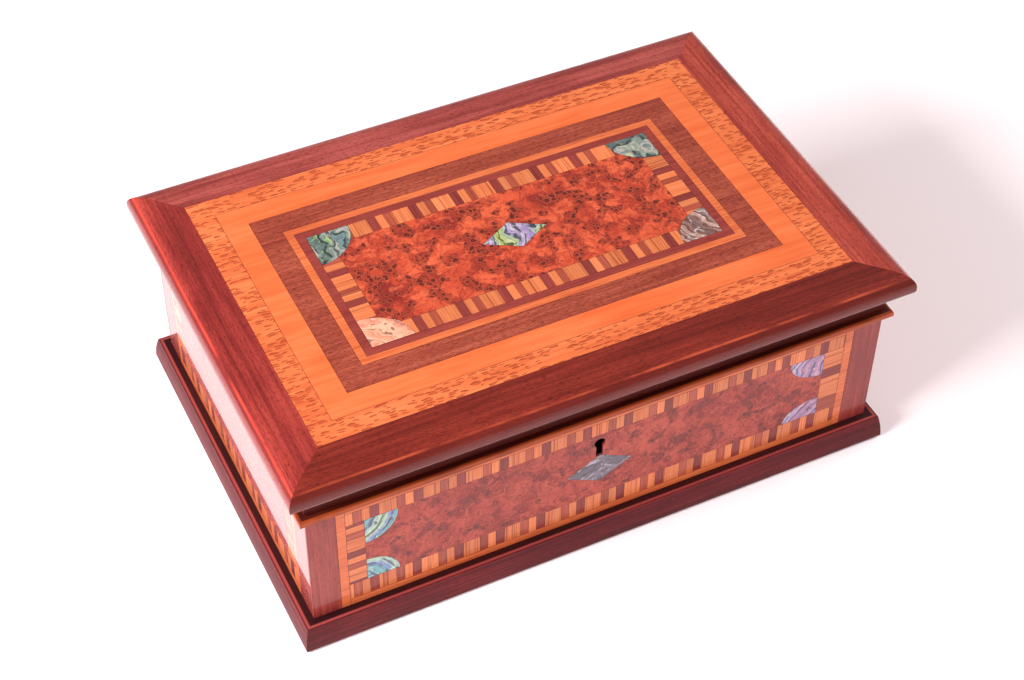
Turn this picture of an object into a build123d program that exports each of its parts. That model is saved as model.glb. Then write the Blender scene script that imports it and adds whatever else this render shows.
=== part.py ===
from build123d import *
import os

# Inlaid jewellery box with a hinged, overhanging lid, a box lock and abalone inlays.
# Millimetres. Origin: middle of the underside of the base. +X runs along the front to the
# right, the front faces -Y and +Z is up. The lid is modelled closed and unlocked.

# ---- driving sizes -------------------------------------------------------------------
BODY_LENGTH = 280.0            # outside of the walls, along X
BODY_DEPTH = 184.0             # outside of the walls, along Y
BASE_HEIGHT = 13.5             # plinth, up to the ledge that the walls stand on
WALL_HEIGHT = 69.0             # ledge to the joint with the lid
WALL_THICKNESS = 12.0          # walls and lid rim
VENEER = 1.2                   # thickness of every inlaid piece
LID_GAP = 0.3                  # joint line between the wall tops and the lid rim
RIM_HEIGHT = 13.0              # lid rim, flush with the walls
FRAME_THICKNESS = 11.0         # moulded lid frame
FRAME_OVERHANG = 8.8           # nose of the lid frame beyond the walls
FRAME_FACE = 12.3              # flat of the lid frame inside the wall line
BASE_PROJECTION = 6.8          # plinth beyond the walls at its widest
BASE_DEPTH = 18.0              # plinth, from the wall line inwards
LEDGE = 4.9                    # flat ledge of the plinth beyond the walls
BOARD_FOOT = 7.5               # underside of the bottom board
FILLET_PROJECTION = 3.4        # small square moulding round the top of the walls
FILLET_HEIGHT = 3.0

HALF_X = BODY_LENGTH / 2
HALF_Y = BODY_DEPTH / 2
JOINT_Z = BASE_HEIGHT + WALL_HEIGHT
RIM_Z = JOINT_Z + LID_GAP
FRAME_Z = RIM_Z + RIM_HEIGHT
LID_TOP = FRAME_Z + FRAME_THICKNESS
FILLET_Z = JOINT_Z - FILLET_HEIGHT

# ---- lid inlay, from the frame inwards --------------------------------------------------
LACEWOOD_WIDTH = 10.8
PLAIN_WIDTH = 11.7
BROWN_WIDTH = 11.7
STRING_WIDTH = 3.9
MAROON_WIDTH = 4.0
LID_BLOCK_WIDTH = 9.2
LID_SHELLS = {                 # size of each corner shell, by its place
    (-1, 1): (20.2, 19.5), (1, 1): (20.2, 17.6), (-1, -1): (20.1, 17.5), (1, -1): (19.6, 17.7),
}
LID_DIAMOND = (31.5, 17.2)

# ---- wall inlay, measured up from the ledge ------------------------------------------------
STILE_WIDTH = 13.1
WALL_STRING_WIDTH = 4.2
END_BLOCK_WIDTH = 8.4
RIGHT_STILE_WIDTH = 14.4       # the right end of the front was set out a little wider
RIGHT_END_BLOCK_WIDTH = 10.2
STRING_TOP = 4.0               # top of the bottom stringing
BLOCK_TOP = 13.9               # top of the bottom row of blocks
UPPER_BLOCK_FOOT = 53.2
UPPER_BLOCK_TOP = 60.8
WALL_SHELLS = {                # size of each corner shell, by its place
    (-1, 1): (15.6, 15.3), (1, 1): (17.9, 13.6), (-1, -1): (15.3, 12.9), (1, -1): (18.2, 10.8),
}
WALL_DIAMOND = (32.5, 17.6)
WALL_DIAMOND_AT = (-2.4, 31.2)

# ---- block banding: widths of one repeat, in the order that they are laid -----------------
LID_REPEAT = (("dark", 4.2), ("light", 3.8), ("mid", 3.4), ("light", 9.0))
WALL_REPEAT = (("dark", 4.1), ("light", 8.2), ("mid", 3.8), ("light", 3.9))
RIGHT_END_REPEAT = (("mid", 8.4), ("light", 14.0), ("dark", 5.9), ("light", 11.5))
LID_ROW_STARTS = (-56.5, -63.5)     # where a repeat begins, in the back and front rows of the lid
LID_COLUMN_STARTS = (-11.7, -8.4)   # and in its left and right columns
FRONT_ROW_START = -111.5            # and in the upper row of the front
SIDE_ROW_START = -71.5
BOTTOM_ROW_SHIFT = -1.6             # from an upper row to the row below it
END_BLOCK_START = 31.3
BLOCK_KINDS = ("light", "mid", "dark")
SMALLEST_PIECE = 0.5           # mm2, and the shortest block in mm

# ---- hinges, at the back -----------------------------------------------------------------
HINGE_X = 84.0
HINGE_LENGTH = 40.0
LEAF_THICKNESS = 1.2
LEAF_REACH = 9.0               # leaf let into the wall top, from the back face
LEAF_SCREW_STEP = 13.0         # between the three screws of a leaf
LEAF_SCREW_STAGGER = (-1.2, 0.8)    # middle and outer screws, from the leaf's middle line
HINGE_NOTCH_MARGIN = 1.8       # gap cut in the fillet at each end of a hinge
KNUCKLE_RADIUS = 2.4
PIN_RADIUS = 1.0
PIN_CLEARANCE = 0.04
KNUCKLES = 5
KNUCKLE_GAP = 0.3
AXIS_Y = HALF_Y + FILLET_PROJECTION
AXIS_Z = JOINT_Z + LID_GAP / 2

# ---- lock, in the front wall --------------------------------------------------------------
KEY_X = -3.0
KEY_Z = BASE_HEIGHT + 47.8
KEY_RADIUS = 2.75
KEY_SLOT = 3.5
KEY_FOOT = BASE_HEIGHT + 39.6
LOCK_LENGTH = 38.0
LOCK_DEPTH = 8.0
LOCK_HEIGHT = 32.0
LOCK_SHEET = 1.2
PLATE_LENGTH = 52.0
LOOP_OFFSET = 9.0              # the two loops of the link plate, either side of the key
LOOP_THICKNESS = 1.6
LOOP_WIDTH = 5.0
LOOP_DROP = 9.5
LOOP_HOLE = (2.8, 3.2)         # along Y and Z
LOOP_HOLE_RISE = 3.6           # from the foot of a loop to the middle of its hole
SLOT_CLEARANCE = 0.6           # round each loop, in the lock's top edge
PLATE_SCREW_INSET = 3.5
KEY_STUD_RADIUS = 1.0          # stud that the key's barrel turns on
KEY_STUD_INSET = 3.5           # its end, behind the front face
BOLT_THICKNESS = 2.0
BOLT_Z = (KEY_Z + 5.5, KEY_Z + 9.5)
BOLT_TAIL = 7.0                # its end, left of the left loop
FINGER_HEIGHT = 2.2            # the bolt's two fingers, which slide through the loops
FINGER_REACH = 3.0
FINGER_POST = 2.6
FINGER_GAP = 0.5               # from an unlocked finger to its loop

# ---- countersunk screws ---------------------------------------------------------------------
SCREW_HEAD_RADIUS = 1.9
SCREW_SHANK_RADIUS = 0.9
SCREW_LENGTH = 7.0
SCREW_SLOT = 0.5
SCREW_SLOT_DEPTH = 0.45
SCREW_TIP = 1.5
SCREW_POINT_RADIUS = 0.15

HALF_ROOT = 0.5 ** 0.5         # cosine of 45 degrees, for the middle of a quarter round

os.makedirs("parts", exist_ok=True)


def save(name, shape):
    """Write one node. A list becomes a group of separate solids."""
    body = Compound(children=list(shape)) if isinstance(shape, (list, tuple)) else shape
    export_step(body, f"parts/{name}.step")


def box(x_range, y_range, z_range):
    """A rectangular block between two corners."""
    size = [high - low for low, high in (x_range, y_range, z_range)]
    low = (x_range[0], y_range[0], z_range[0])
    return Pos(*low) * Box(*size, align=(Align.MIN, Align.MIN, Align.MIN))


def minus(shape, cutters):
    """The shape with each cutter taken away."""
    for cutter in cutters:
        shape = shape - cutter
    return shape


# ---- mitred mouldings ---------------------------------------------------------------------
SIDES = (("front", 0), ("right", 90), ("back", 180), ("left", 270))


def mitred_sides(half_x, half_y, edges, reach):
    """Four mouldings mitred at the corners.

    edges gives the section's outline in (distance out from the wall line, height), and reach
    is its lowest and highest distance.
    """
    pieces = {}
    for side, turn in SIDES:
        along, across = (half_x, half_y) if turn in (0, 180) else (half_y, half_x)
        section = Plane(origin=(0, -across, 0), x_dir=(0, -1, 0), z_dir=(-1, 0, 0))
        face = section * make_face(edges())
        half_length = along + reach[1]
        bar = extrude(face, amount=half_length, both=True)
        wedge = make_face(Polyline(
            (-along - reach[0], -across - reach[0]), (along + reach[0], -across - reach[0]),
            (along + reach[1], -across - reach[1]), (-along - reach[1], -across - reach[1]),
            close=True))
        mitres = extrude(wedge, amount=LID_TOP + 1)
        pieces[side] = Rot(0, 0, turn) * (bar & mitres)
    return pieces


def bar_section(inner, outer, low, high):
    """A plain rectangular section for mitred_sides."""
    return lambda: Polyline((inner, low), (outer, low), (outer, high), (inner, high), close=True)


def base_section():
    """Plinth: a flat ledge, a bowed face leaning out, and a small rounded foot."""
    foot = (5.4, 0)
    widest = (BASE_PROJECTION, 2.6)
    bow = Spline((LEDGE, BASE_HEIGHT), (6.2, 8.0), widest)
    toe = ThreePointArc(widest, (6.5, 0.9), foot)
    rebate = -WALL_THICKNESS
    rest = Polyline(foot, (-BASE_DEPTH, 0), (-BASE_DEPTH, BOARD_FOOT), (rebate, BOARD_FOOT),
                    (rebate, BASE_HEIGHT), (LEDGE, BASE_HEIGHT))
    return [bow, toe, rest]


def frame_section():
    """Lid frame: flat top, a long easing down to a full nose, and a flat underside."""
    nose_z = FRAME_Z + 4.2
    under = FRAME_OVERHANG - 1.5
    flat_edge = 0.6
    easing = EllipticalCenterArc((flat_edge, nose_z), FRAME_OVERHANG - flat_edge,
                                 LID_TOP - nose_z, start_angle=0, arc_size=90)
    nose = Spline((FRAME_OVERHANG, nose_z), (8.5, FRAME_Z + 1.6), (under, FRAME_Z))
    rest = Polyline((under, FRAME_Z), (-FRAME_FACE, FRAME_Z), (-FRAME_FACE, LID_TOP),
                    (flat_edge, LID_TOP))
    return [easing, nose, rest]


def fillet_section():
    """Square moulding let into the top of the walls, with its front arrises eased."""
    ease = 0.7
    corner = ease * (1 - HALF_ROOT)
    out = FILLET_PROJECTION
    top = JOINT_Z
    arris = ThreePointArc((out - ease, top), (out - corner, top - corner), (out, top - ease))
    lower = ThreePointArc((out, FILLET_Z + ease), (out - corner, FILLET_Z + corner),
                          (out - ease, FILLET_Z))
    front = Line((out, top - ease), (out, FILLET_Z + ease))
    rest = Polyline((out - ease, FILLET_Z), (-VENEER, FILLET_Z), (-VENEER, top),
                    (out - ease, top))
    return [arris, front, lower, rest]


# ---- screws ---------------------------------------------------------------------------------
def screw(x, y, z, turn):
    """A slotted countersunk screw with its head's face at the point, shank along local -Z."""
    head_depth = SCREW_HEAD_RADIUS - SCREW_SHANK_RADIUS
    half_slot = SCREW_SLOT / 2
    head = Pos(0, 0, -head_depth / 2) * Cone(SCREW_SHANK_RADIUS, SCREW_HEAD_RADIUS, head_depth)
    straight = SCREW_LENGTH - head_depth - SCREW_TIP
    shank = Pos(0, 0, -head_depth - straight / 2) * Cylinder(SCREW_SHANK_RADIUS, straight)
    tip = Pos(0, 0, SCREW_TIP / 2 - SCREW_LENGTH) * Cone(SCREW_POINT_RADIUS, SCREW_SHANK_RADIUS,
                                                         SCREW_TIP)
    across = (-2 * SCREW_HEAD_RADIUS, 2 * SCREW_HEAD_RADIUS)
    slot = box(across, (-half_slot, half_slot), (-SCREW_SLOT_DEPTH, 1))
    place = Pos(x, y, z) * Rot(*turn)
    whole = place * (head + shank + tip)
    return whole, whole - place * Rot(0, 0, SLOT_TURN) * slot


SLOT_TURN = 35
HEAD_UP = (0, 0, 0)
HEAD_DOWN = (180, 0, 0)
HEAD_BACK = (-90, 0, 0)


# ---- hinges ---------------------------------------------------------------------------------
def hinge_leaf(centre_x, z_range, own_knuckles):
    """One leaf with the knuckles that belong to it, bored for the pin."""
    pitch = HINGE_LENGTH / KNUCKLES
    start = centre_x - HINGE_LENGTH / 2
    inner_y = HALF_Y - LEAF_REACH
    clear_y = AXIS_Y - KNUCKLE_RADIUS - KNUCKLE_GAP
    leaf = box((start, start + HINGE_LENGTH), (inner_y, clear_y), z_range)
    for number in own_knuckles:
        low = start + number * pitch + KNUCKLE_GAP / 2
        high = low + pitch - KNUCKLE_GAP
        tongue = box((low, high), (clear_y, AXIS_Y), z_range)
        barrel = Pos((low + high) / 2, AXIS_Y, AXIS_Z) * Rot(0, 90, 0) * Cylinder(
            KNUCKLE_RADIUS, high - low)
        leaf = leaf + tongue + barrel
    bore = Pos(centre_x, AXIS_Y, AXIS_Z) * Rot(0, 90, 0) * Cylinder(
        PIN_RADIUS + PIN_CLEARANCE, HINGE_LENGTH + 2)
    return leaf - bore


def hinge_pin(centre_x):
    """The pin, with a low domed head at each end that keeps it in."""
    dome_radius = 1.5 * PIN_RADIUS
    wide = (-dome_radius, dome_radius)
    dome = Sphere(dome_radius) & box(wide, wide, (0, dome_radius))
    pin = Rot(0, 90, 0) * Cylinder(PIN_RADIUS, HINGE_LENGTH)
    right = Pos(HINGE_LENGTH / 2, 0, 0) * Rot(0, 90, 0) * dome
    left = Pos(-HINGE_LENGTH / 2, 0, 0) * Rot(0, -90, 0) * dome
    return Pos(centre_x, AXIS_Y, AXIS_Z) * (pin + right + left)


BODY_LEAF_Z = (JOINT_Z - LEAF_THICKNESS, JOINT_Z)
LID_LEAF_Z = (RIM_Z, RIM_Z + LEAF_THICKNESS)
HINGE_CENTRES = (-HINGE_X, HINGE_X)
hinge_body_leaves = []
hinge_lid_leaves = []
hinge_pins = []
body_screw_blanks = []
lid_screw_blanks = []
body_screws = []
lid_screws = []
body_recesses = []
lid_recesses = []
hinge_notches = []
for centre in HINGE_CENTRES:
    body_leaf = hinge_leaf(centre, BODY_LEAF_Z, range(0, KNUCKLES, 2))
    lid_leaf = hinge_leaf(centre, LID_LEAF_Z, range(1, KNUCKLES, 2))
    for step in (-1, 0, 1):
        screw_x = centre + step * LEAF_SCREW_STEP
        screw_y = HALF_Y - LEAF_REACH / 2 + LEAF_SCREW_STAGGER[abs(step)]
        blank, finished = screw(screw_x, screw_y, JOINT_Z, HEAD_UP)
        body_screw_blanks.append(blank)
        body_screws.append(finished)
        body_leaf = body_leaf - blank
        blank, finished = screw(screw_x, screw_y, RIM_Z, HEAD_DOWN)
        lid_screw_blanks.append(blank)
        lid_screws.append(finished)
        lid_leaf = lid_leaf - blank
    hinge_body_leaves.append(body_leaf)
    hinge_lid_leaves.append(lid_leaf)
    hinge_pins.append(hinge_pin(centre))
    span = (centre - HINGE_LENGTH / 2, centre + HINGE_LENGTH / 2)
    wide = (span[0] - HINGE_NOTCH_MARGIN, span[1] + HINGE_NOTCH_MARGIN)
    body_recesses.append(box(span, (HALF_Y - LEAF_REACH, HALF_Y + 1), (BODY_LEAF_Z[0], JOINT_Z + 1)))
    lid_recesses.append(box(span, (HALF_Y - LEAF_REACH, HALF_Y + 1), (RIM_Z - 1, LID_LEAF_Z[1])))
    hinge_notches.append(box(wide, (HALF_Y - VENEER - 1, AXIS_Y + 1), (FILLET_Z - 1, JOINT_Z + 1)))

# ---- lock ---------------------------------------------------------------------------------
INNER_FACE = -HALF_Y + WALL_THICKNESS
LOCK_X = (KEY_X - LOCK_LENGTH / 2, KEY_X + LOCK_LENGTH / 2)
PLATE_X = (KEY_X - PLATE_LENGTH / 2, KEY_X + PLATE_LENGTH / 2)
LOCK_Y = (INNER_FACE - LOCK_DEPTH, INNER_FACE)
LOCK_Z = (JOINT_Z - LOCK_HEIGHT, JOINT_Z)
LOOP_Y = INNER_FACE - LOCK_DEPTH / 2
LOOP_X = (KEY_X - LOOP_OFFSET, KEY_X + LOOP_OFFSET)
PLATE_SCREW_X = (PLATE_X[0] + PLATE_SCREW_INSET, PLATE_X[1] - PLATE_SCREW_INSET)
PLATE_SCREW_Z = (LOCK_Z[0] + 5, LOCK_Z[1] - 9)

mortise = box(LOCK_X, LOCK_Y, LOCK_Z)
case_z = (LOCK_Z[0], LOCK_Z[1] - LOCK_SHEET)
case_y = (LOCK_Y[0], LOCK_Y[1] - LOCK_SHEET)
lock_case = box(LOCK_X, case_y, case_z)
lock_case -= box((LOCK_X[0] + LOCK_SHEET, LOCK_X[1] - LOCK_SHEET),
                 (case_y[0] + LOCK_SHEET, case_y[1] + 1), (case_z[0] + LOCK_SHEET, case_z[1] + 1))

selvedge = box(PLATE_X, LOCK_Y, (JOINT_Z - LOCK_SHEET, JOINT_Z))
back_plate = box(PLATE_X, (INNER_FACE - LOCK_SHEET, INNER_FACE), LOCK_Z)
plate_recess = selvedge + back_plate
lock_plate = plate_recess
for x in LOOP_X:
    half_slot = LOOP_THICKNESS / 2 + SLOT_CLEARANCE
    half_width = LOOP_WIDTH / 2 + SLOT_CLEARANCE
    lock_plate -= box((x - half_slot, x + half_slot), (LOOP_Y - half_width, LOOP_Y + half_width),
                      (JOINT_Z - 3, JOINT_Z + 1))

for x in PLATE_SCREW_X:
    for z in PLATE_SCREW_Z:
        blank, finished = screw(x, INNER_FACE, z, HEAD_BACK)
        body_screw_blanks.append(blank)
        body_screws.append(finished)
        lock_plate -= blank

# the keyhole goes through the veneer, the wall and the front of the lock case
keyhole_y = (-HALF_Y - 1, case_y[0] + LOCK_SHEET + 1)
keyhole = Pos(KEY_X, sum(keyhole_y) / 2, KEY_Z) * Rot(90, 0, 0) * Cylinder(
    KEY_RADIUS, keyhole_y[1] - keyhole_y[0])
keyhole += box((KEY_X - KEY_SLOT / 2, KEY_X + KEY_SLOT / 2), keyhole_y, (KEY_FOOT, KEY_Z))
lock_case -= keyhole

stud_y = (-HALF_Y + KEY_STUD_INSET, INNER_FACE - LOCK_SHEET)
lock_pin = Pos(KEY_X, sum(stud_y) / 2, KEY_Z) * Rot(90, 0, 0) * Cylinder(
    KEY_STUD_RADIUS, stud_y[1] - stud_y[0])

# the bolt: a bar with two upright fingers that slide through the loops towards +X
bolt_y = (LOOP_Y - BOLT_THICKNESS / 2, LOOP_Y + BOLT_THICKNESS / 2)
loop_hole_z = RIM_Z - LOOP_DROP + LOOP_HOLE_RISE
finger_z = (loop_hole_z - FINGER_HEIGHT / 2, loop_hole_z + FINGER_HEIGHT / 2)
lock_bolt = box((LOOP_X[0] - BOLT_TAIL, LOOP_X[1] - LOOP_THICKNESS), bolt_y, BOLT_Z)
for x in LOOP_X:
    tip_x = x - LOOP_THICKNESS / 2 - FINGER_GAP
    post_x = tip_x - FINGER_REACH
    lock_bolt += box((post_x - FINGER_POST, post_x), bolt_y, (BOLT_Z[0], finger_z[1]))
    lock_bolt += box((post_x - 1, tip_x), bolt_y, finger_z)

# the link plate in the lid, with the two loops that drop into the lock
link_plate_z = (RIM_Z, RIM_Z + LOCK_SHEET)
link_blank = box(PLATE_X, LOCK_Y, link_plate_z)
link_plate = link_blank
for x in LOOP_X:
    loop_x = (x - LOOP_THICKNESS / 2, x + LOOP_THICKNESS / 2)
    half_width = LOOP_WIDTH / 2
    loop = box(loop_x, (LOOP_Y - half_width, LOOP_Y + half_width), (RIM_Z - LOOP_DROP, RIM_Z))
    hole_y = (LOOP_Y - LOOP_HOLE[0] / 2, LOOP_Y + LOOP_HOLE[0] / 2)
    hole_z = (loop_hole_z - LOOP_HOLE[1] / 2, loop_hole_z + LOOP_HOLE[1] / 2)
    link_plate += loop - box((loop_x[0] - 1, loop_x[1] + 1), hole_y, hole_z)
for x in PLATE_SCREW_X:
    blank, finished = screw(x, LOOP_Y, RIM_Z, HEAD_DOWN)
    lid_screw_blanks.append(blank)
    lid_screws.append(finished)
    link_plate -= blank

# ---- carcase ----------------------------------------------------------------------------------
walls = mitred_sides(HALF_X, HALF_Y, bar_section(-WALL_THICKNESS, -VENEER, BASE_HEIGHT, JOINT_Z),
                     (-WALL_THICKNESS, -VENEER))
lock_sinking = [mortise, plate_recess, keyhole]
walls["front"] = minus(walls["front"], lock_sinking + body_screw_blanks)
walls["back"] = minus(walls["back"], body_recesses + body_screw_blanks)
for side, wall in walls.items():
    save(f"{side}_wall", wall)

board_x = HALF_X - WALL_THICKNESS
board_y = HALF_Y - WALL_THICKNESS
save("bottom_board", box((-board_x, board_x), (-board_y, board_y), (BOARD_FOOT, BASE_HEIGHT)))

base = mitred_sides(HALF_X, HALF_Y, base_section, (-BASE_DEPTH, BASE_PROJECTION))
for side, moulding in base.items():
    save(f"base_moulding_{side}", moulding)

fillets = mitred_sides(HALF_X, HALF_Y, fillet_section, (-VENEER, FILLET_PROJECTION))
fillets["back"] = minus(fillets["back"], hinge_notches)
for side, moulding in fillets.items():
    save(f"top_fillet_{side}", moulding)

# ---- lid carcase --------------------------------------------------------------------------------
rims = mitred_sides(HALF_X, HALF_Y, bar_section(-WALL_THICKNESS, 0, RIM_Z, FRAME_Z),
                    (-WALL_THICKNESS, 0))
rims["front"] = minus(rims["front"], [link_blank] + lid_screw_blanks)
rims["back"] = minus(rims["back"], lid_recesses + lid_screw_blanks)
for side, rim in rims.items():
    save(f"lid_rim_{side}", rim)

frame = mitred_sides(HALF_X, HALF_Y, frame_section, (-FRAME_FACE, FRAME_OVERHANG))
for side, moulding in frame.items():
    save(f"lid_frame_{side}", moulding)

field_x = HALF_X - FRAME_FACE
field_y = HALF_Y - FRAME_FACE
save("lid_panel", box((-field_x, field_x), (-field_y, field_y), (FRAME_Z, LID_TOP - VENEER)))

# ---- hardware -------------------------------------------------------------------------------------
save("hinge_body_leaves", hinge_body_leaves)
save("hinge_lid_leaves", hinge_lid_leaves)
save("hinge_pins", hinge_pins)
save("body_screws", body_screws)
save("lid_screws", lid_screws)
save("lock_case", lock_case)
save("lock_plate", lock_plate)
save("lock_pin", lock_pin)
save("lock_bolt", lock_bolt)
save("link_plate", link_plate)


# ---- inlay, drawn flat and then laid on a face ------------------------------------------------------
def tile(low, high):
    """A flat rectangle between two corners."""
    size = (high[0] - low[0], high[1] - low[1])
    return Pos((low[0] + high[0]) / 2, (low[1] + high[1]) / 2) * Rectangle(*size)


def diamond(size, centre):
    """A lozenge with its long axis across."""
    half_w, half_h = size[0] / 2, size[1] / 2
    points = [(-half_w, 0), (0, -half_h), (half_w, 0), (0, half_h)]
    return Pos(*centre) * make_face(Polyline(*points, close=True))


def quarter(size, corner, towards):
    """A quarter of an ellipse with its square corner at corner, spreading towards (+-1, +-1)."""
    start = {(1, 1): 0, (-1, 1): 90, (-1, -1): 180, (1, -1): 270}[towards]
    edge = EllipticalCenterArc(corner, size[0], size[1], start_angle=start, arc_size=90)
    return make_face([Line(corner, edge @ 0), edge, Line(edge @ 1, corner)])


def block_row(repeat, start, span):
    """The blocks of one strip as (kind, low, high) along it. A repeat begins at start."""
    length = sum(width for kind, width in repeat)
    place = start - length * (1 + (start - span[0]) // length)
    blocks = []
    while place < span[1]:
        for kind, width in repeat:
            low, high = max(place, span[0]), min(place + width, span[1])
            if high - low > SMALLEST_PIECE:
                blocks.append((kind, low, high))
            place += width
    return fill_ends(blocks, span)


def fill_ends(blocks, span):
    """The first and last block reach the ends of the strip, so no sliver is left open."""
    first, last = blocks[0], blocks[-1]
    blocks[0] = (first[0], span[0], first[2])
    blocks[-1] = (last[0], blocks[-1][1], span[1])
    return blocks


def banding(strips):
    """Flat blocks sorted by kind, from strips of (axis, repeat, start, span, across)."""
    sorted_blocks = {kind: [] for kind in BLOCK_KINDS}
    for axis, repeat, start, span, across in strips:
        for kind, low, high in block_row(repeat, start, span):
            if axis == "along":
                shape = tile((low, across[0]), (high, across[1]))
            else:
                shape = tile((across[0], low), (across[1], high))
            sorted_blocks[kind].append(shape)
    return sorted_blocks


def ring(outer, width):
    """Four flat strips mitred into a frame. outer is the half size."""
    inner = (outer[0] - width, outer[1] - width)
    corners = ((-1, -1), (1, -1), (1, 1), (-1, 1))
    strips = []
    for number in range(4):
        a, b = corners[number], corners[(number + 1) % 4]
        points = [(a[0] * outer[0], a[1] * outer[1]), (b[0] * outer[0], b[1] * outer[1]),
                  (b[0] * inner[0], b[1] * inner[1]), (a[0] * inner[0], a[1] * inner[1])]
        strips.append(make_face(Polyline(*points, close=True)))
    return strips


def lay(faces, place):
    """Flat faces made into pieces one veneer thick, let in flush below the placed plane."""
    pieces = []
    for face in faces:
        for part in face.faces():
            solid = extrude(part, amount=-VENEER, dir=(0, 0, 1))
            pieces.append(place * solid)
    return pieces


def without(faces, cutters):
    """Flat faces with the cutters taken out. A face that lies inside a cutter is dropped."""
    for cutter in cutters:
        left = []
        for face in faces:
            left += [part for part in (face - cutter).faces() if part.area > SMALLEST_PIECE]
        faces = left
    return faces


# ---- lid inlay ------------------------------------------------------------------------------------
on_lid = Pos(0, 0, LID_TOP)
outer = (field_x, field_y)
for name, width in (("lid_lacewood_band", LACEWOOD_WIDTH), ("lid_plain_band", PLAIN_WIDTH),
                    ("lid_brown_band", BROWN_WIDTH), ("lid_stringing", STRING_WIDTH),
                    ("lid_maroon_strip", MAROON_WIDTH)):
    save(name, lay(ring(outer, width), on_lid))
    outer = (outer[0] - width, outer[1] - width)

inner = (outer[0] - LID_BLOCK_WIDTH, outer[1] - LID_BLOCK_WIDTH)
lid_shells = [quarter(size, (sx * outer[0], sy * outer[1]), (-sx, -sy))
              for (sx, sy), size in LID_SHELLS.items()]
lid_diamond = diamond(LID_DIAMOND, (0, 0))
turned_repeat = tuple(reversed(LID_REPEAT))
lid_blocks = banding((
    ("along", LID_REPEAT, LID_ROW_STARTS[0], (-outer[0], outer[0]), (inner[1], outer[1])),
    ("along", LID_REPEAT, LID_ROW_STARTS[1], (-outer[0], outer[0]), (-outer[1], -inner[1])),
    ("up", LID_REPEAT, LID_COLUMN_STARTS[0], (-inner[1], inner[1]), (-outer[0], -inner[0])),
    ("up", turned_repeat, LID_COLUMN_STARTS[1], (-inner[1], inner[1]), (inner[0], outer[0])),
))
for kind, faces in lid_blocks.items():
    save(f"lid_{kind}_blocks", lay(without(faces, lid_shells), on_lid))
lid_burl = without([tile((-inner[0], -inner[1]), inner)], lid_shells + [lid_diamond])
save("lid_burl_panel", lay(lid_burl, on_lid))
save("lid_shell_corners", lay(lid_shells, on_lid))
save("lid_shell_diamond", lay([lid_diamond], on_lid))


# ---- wall inlay -------------------------------------------------------------------------------------
WALL_TOP = FILLET_Z - BASE_HEIGHT


def wall_inlay(half_length, start, right_stile=STILE_WIDTH, right_block=END_BLOCK_WIDTH,
               right_end=(WALL_REPEAT, END_BLOCK_START)):
    """The flat pieces of one inlaid wall face, by name, and where its burl begins and ends."""
    stile = (STILE_WIDTH - half_length, half_length - right_stile)
    string = (stile[0] + WALL_STRING_WIDTH, stile[1] - WALL_STRING_WIDTH)
    field = (string[0] + END_BLOCK_WIDTH, string[1] - right_block)
    faces = {
        "stiles": [tile((-half_length, 0), (stile[0], WALL_TOP)),
                   tile((stile[1], 0), (half_length, WALL_TOP))],
        "stringing": [tile((stile[0], 0), (string[0], WALL_TOP)),
                      tile((string[1], 0), (stile[1], WALL_TOP)),
                      tile((string[0], 0), (string[1], STRING_TOP)),
                      tile((string[0], UPPER_BLOCK_TOP), (string[1], WALL_TOP))],
        "burl": [tile((field[0], BLOCK_TOP), (field[1], UPPER_BLOCK_FOOT))],
    }
    column = (BLOCK_TOP, UPPER_BLOCK_FOOT)
    faces.update(banding((
        ("along", WALL_REPEAT, start + BOTTOM_ROW_SHIFT, string, (STRING_TOP, BLOCK_TOP)),
        ("along", WALL_REPEAT, start, string, (UPPER_BLOCK_FOOT, UPPER_BLOCK_TOP)),
        ("up", WALL_REPEAT, END_BLOCK_START, column, (string[0], field[0])),
        ("up", *right_end, column, (field[1], string[1])),
    )))
    return faces, field


on_front = Pos(0, -HALF_Y, BASE_HEIGHT) * Rot(90, 0, 0)
front_faces, front_field = wall_inlay(HALF_X, FRONT_ROW_START, RIGHT_STILE_WIDTH,
                                      RIGHT_END_BLOCK_WIDTH, (RIGHT_END_REPEAT, BLOCK_TOP))
wall_shells = []
for (sx, sz), size in WALL_SHELLS.items():
    corner = (front_field[sx > 0], UPPER_BLOCK_FOOT if sz > 0 else BLOCK_TOP)
    wall_shells.append(quarter(size, corner, (-sx, -sz)))
wall_diamond = diamond(WALL_DIAMOND, WALL_DIAMOND_AT)
front_burl = without(front_faces["burl"], wall_shells + [wall_diamond])
save("front_stiles", lay(front_faces["stiles"], on_front))
save("front_stringing", lay(front_faces["stringing"], on_front))
for kind in BLOCK_KINDS:
    save(f"front_{kind}_blocks", lay(front_faces[kind], on_front))
save("front_burl_panel", [piece - keyhole for piece in lay(front_burl, on_front)])
save("front_shell_corners", lay(wall_shells, on_front))
save("front_shell_diamond", [piece - keyhole for piece in lay([wall_diamond], on_front)])

side_faces = wall_inlay(HALF_Y - VENEER, SIDE_ROW_START)[0]
on_sides = [Rot(0, 0, turn) * Pos(0, -HALF_X, BASE_HEIGHT) * Rot(90, 0, 0) for turn in (-90, 90)]
for node, key in (("side_stiles", "stiles"), ("side_stringing", "stringing"),
                  ("side_burl_panels", "burl"), ("side_light_blocks", "light"),
                  ("side_mid_blocks", "mid"), ("side_dark_blocks", "dark")):
    save(node, [piece for place in on_sides for piece in lay(side_faces[key], place)])

on_back = Rot(0, 0, 180) * on_front
save("back_veneer", lay([tile((-HALF_X, 0), (HALF_X, WALL_TOP))], on_back))
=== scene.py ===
import math
import random

import bmesh
import bpy
from mathutils import Matrix, Vector


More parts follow.
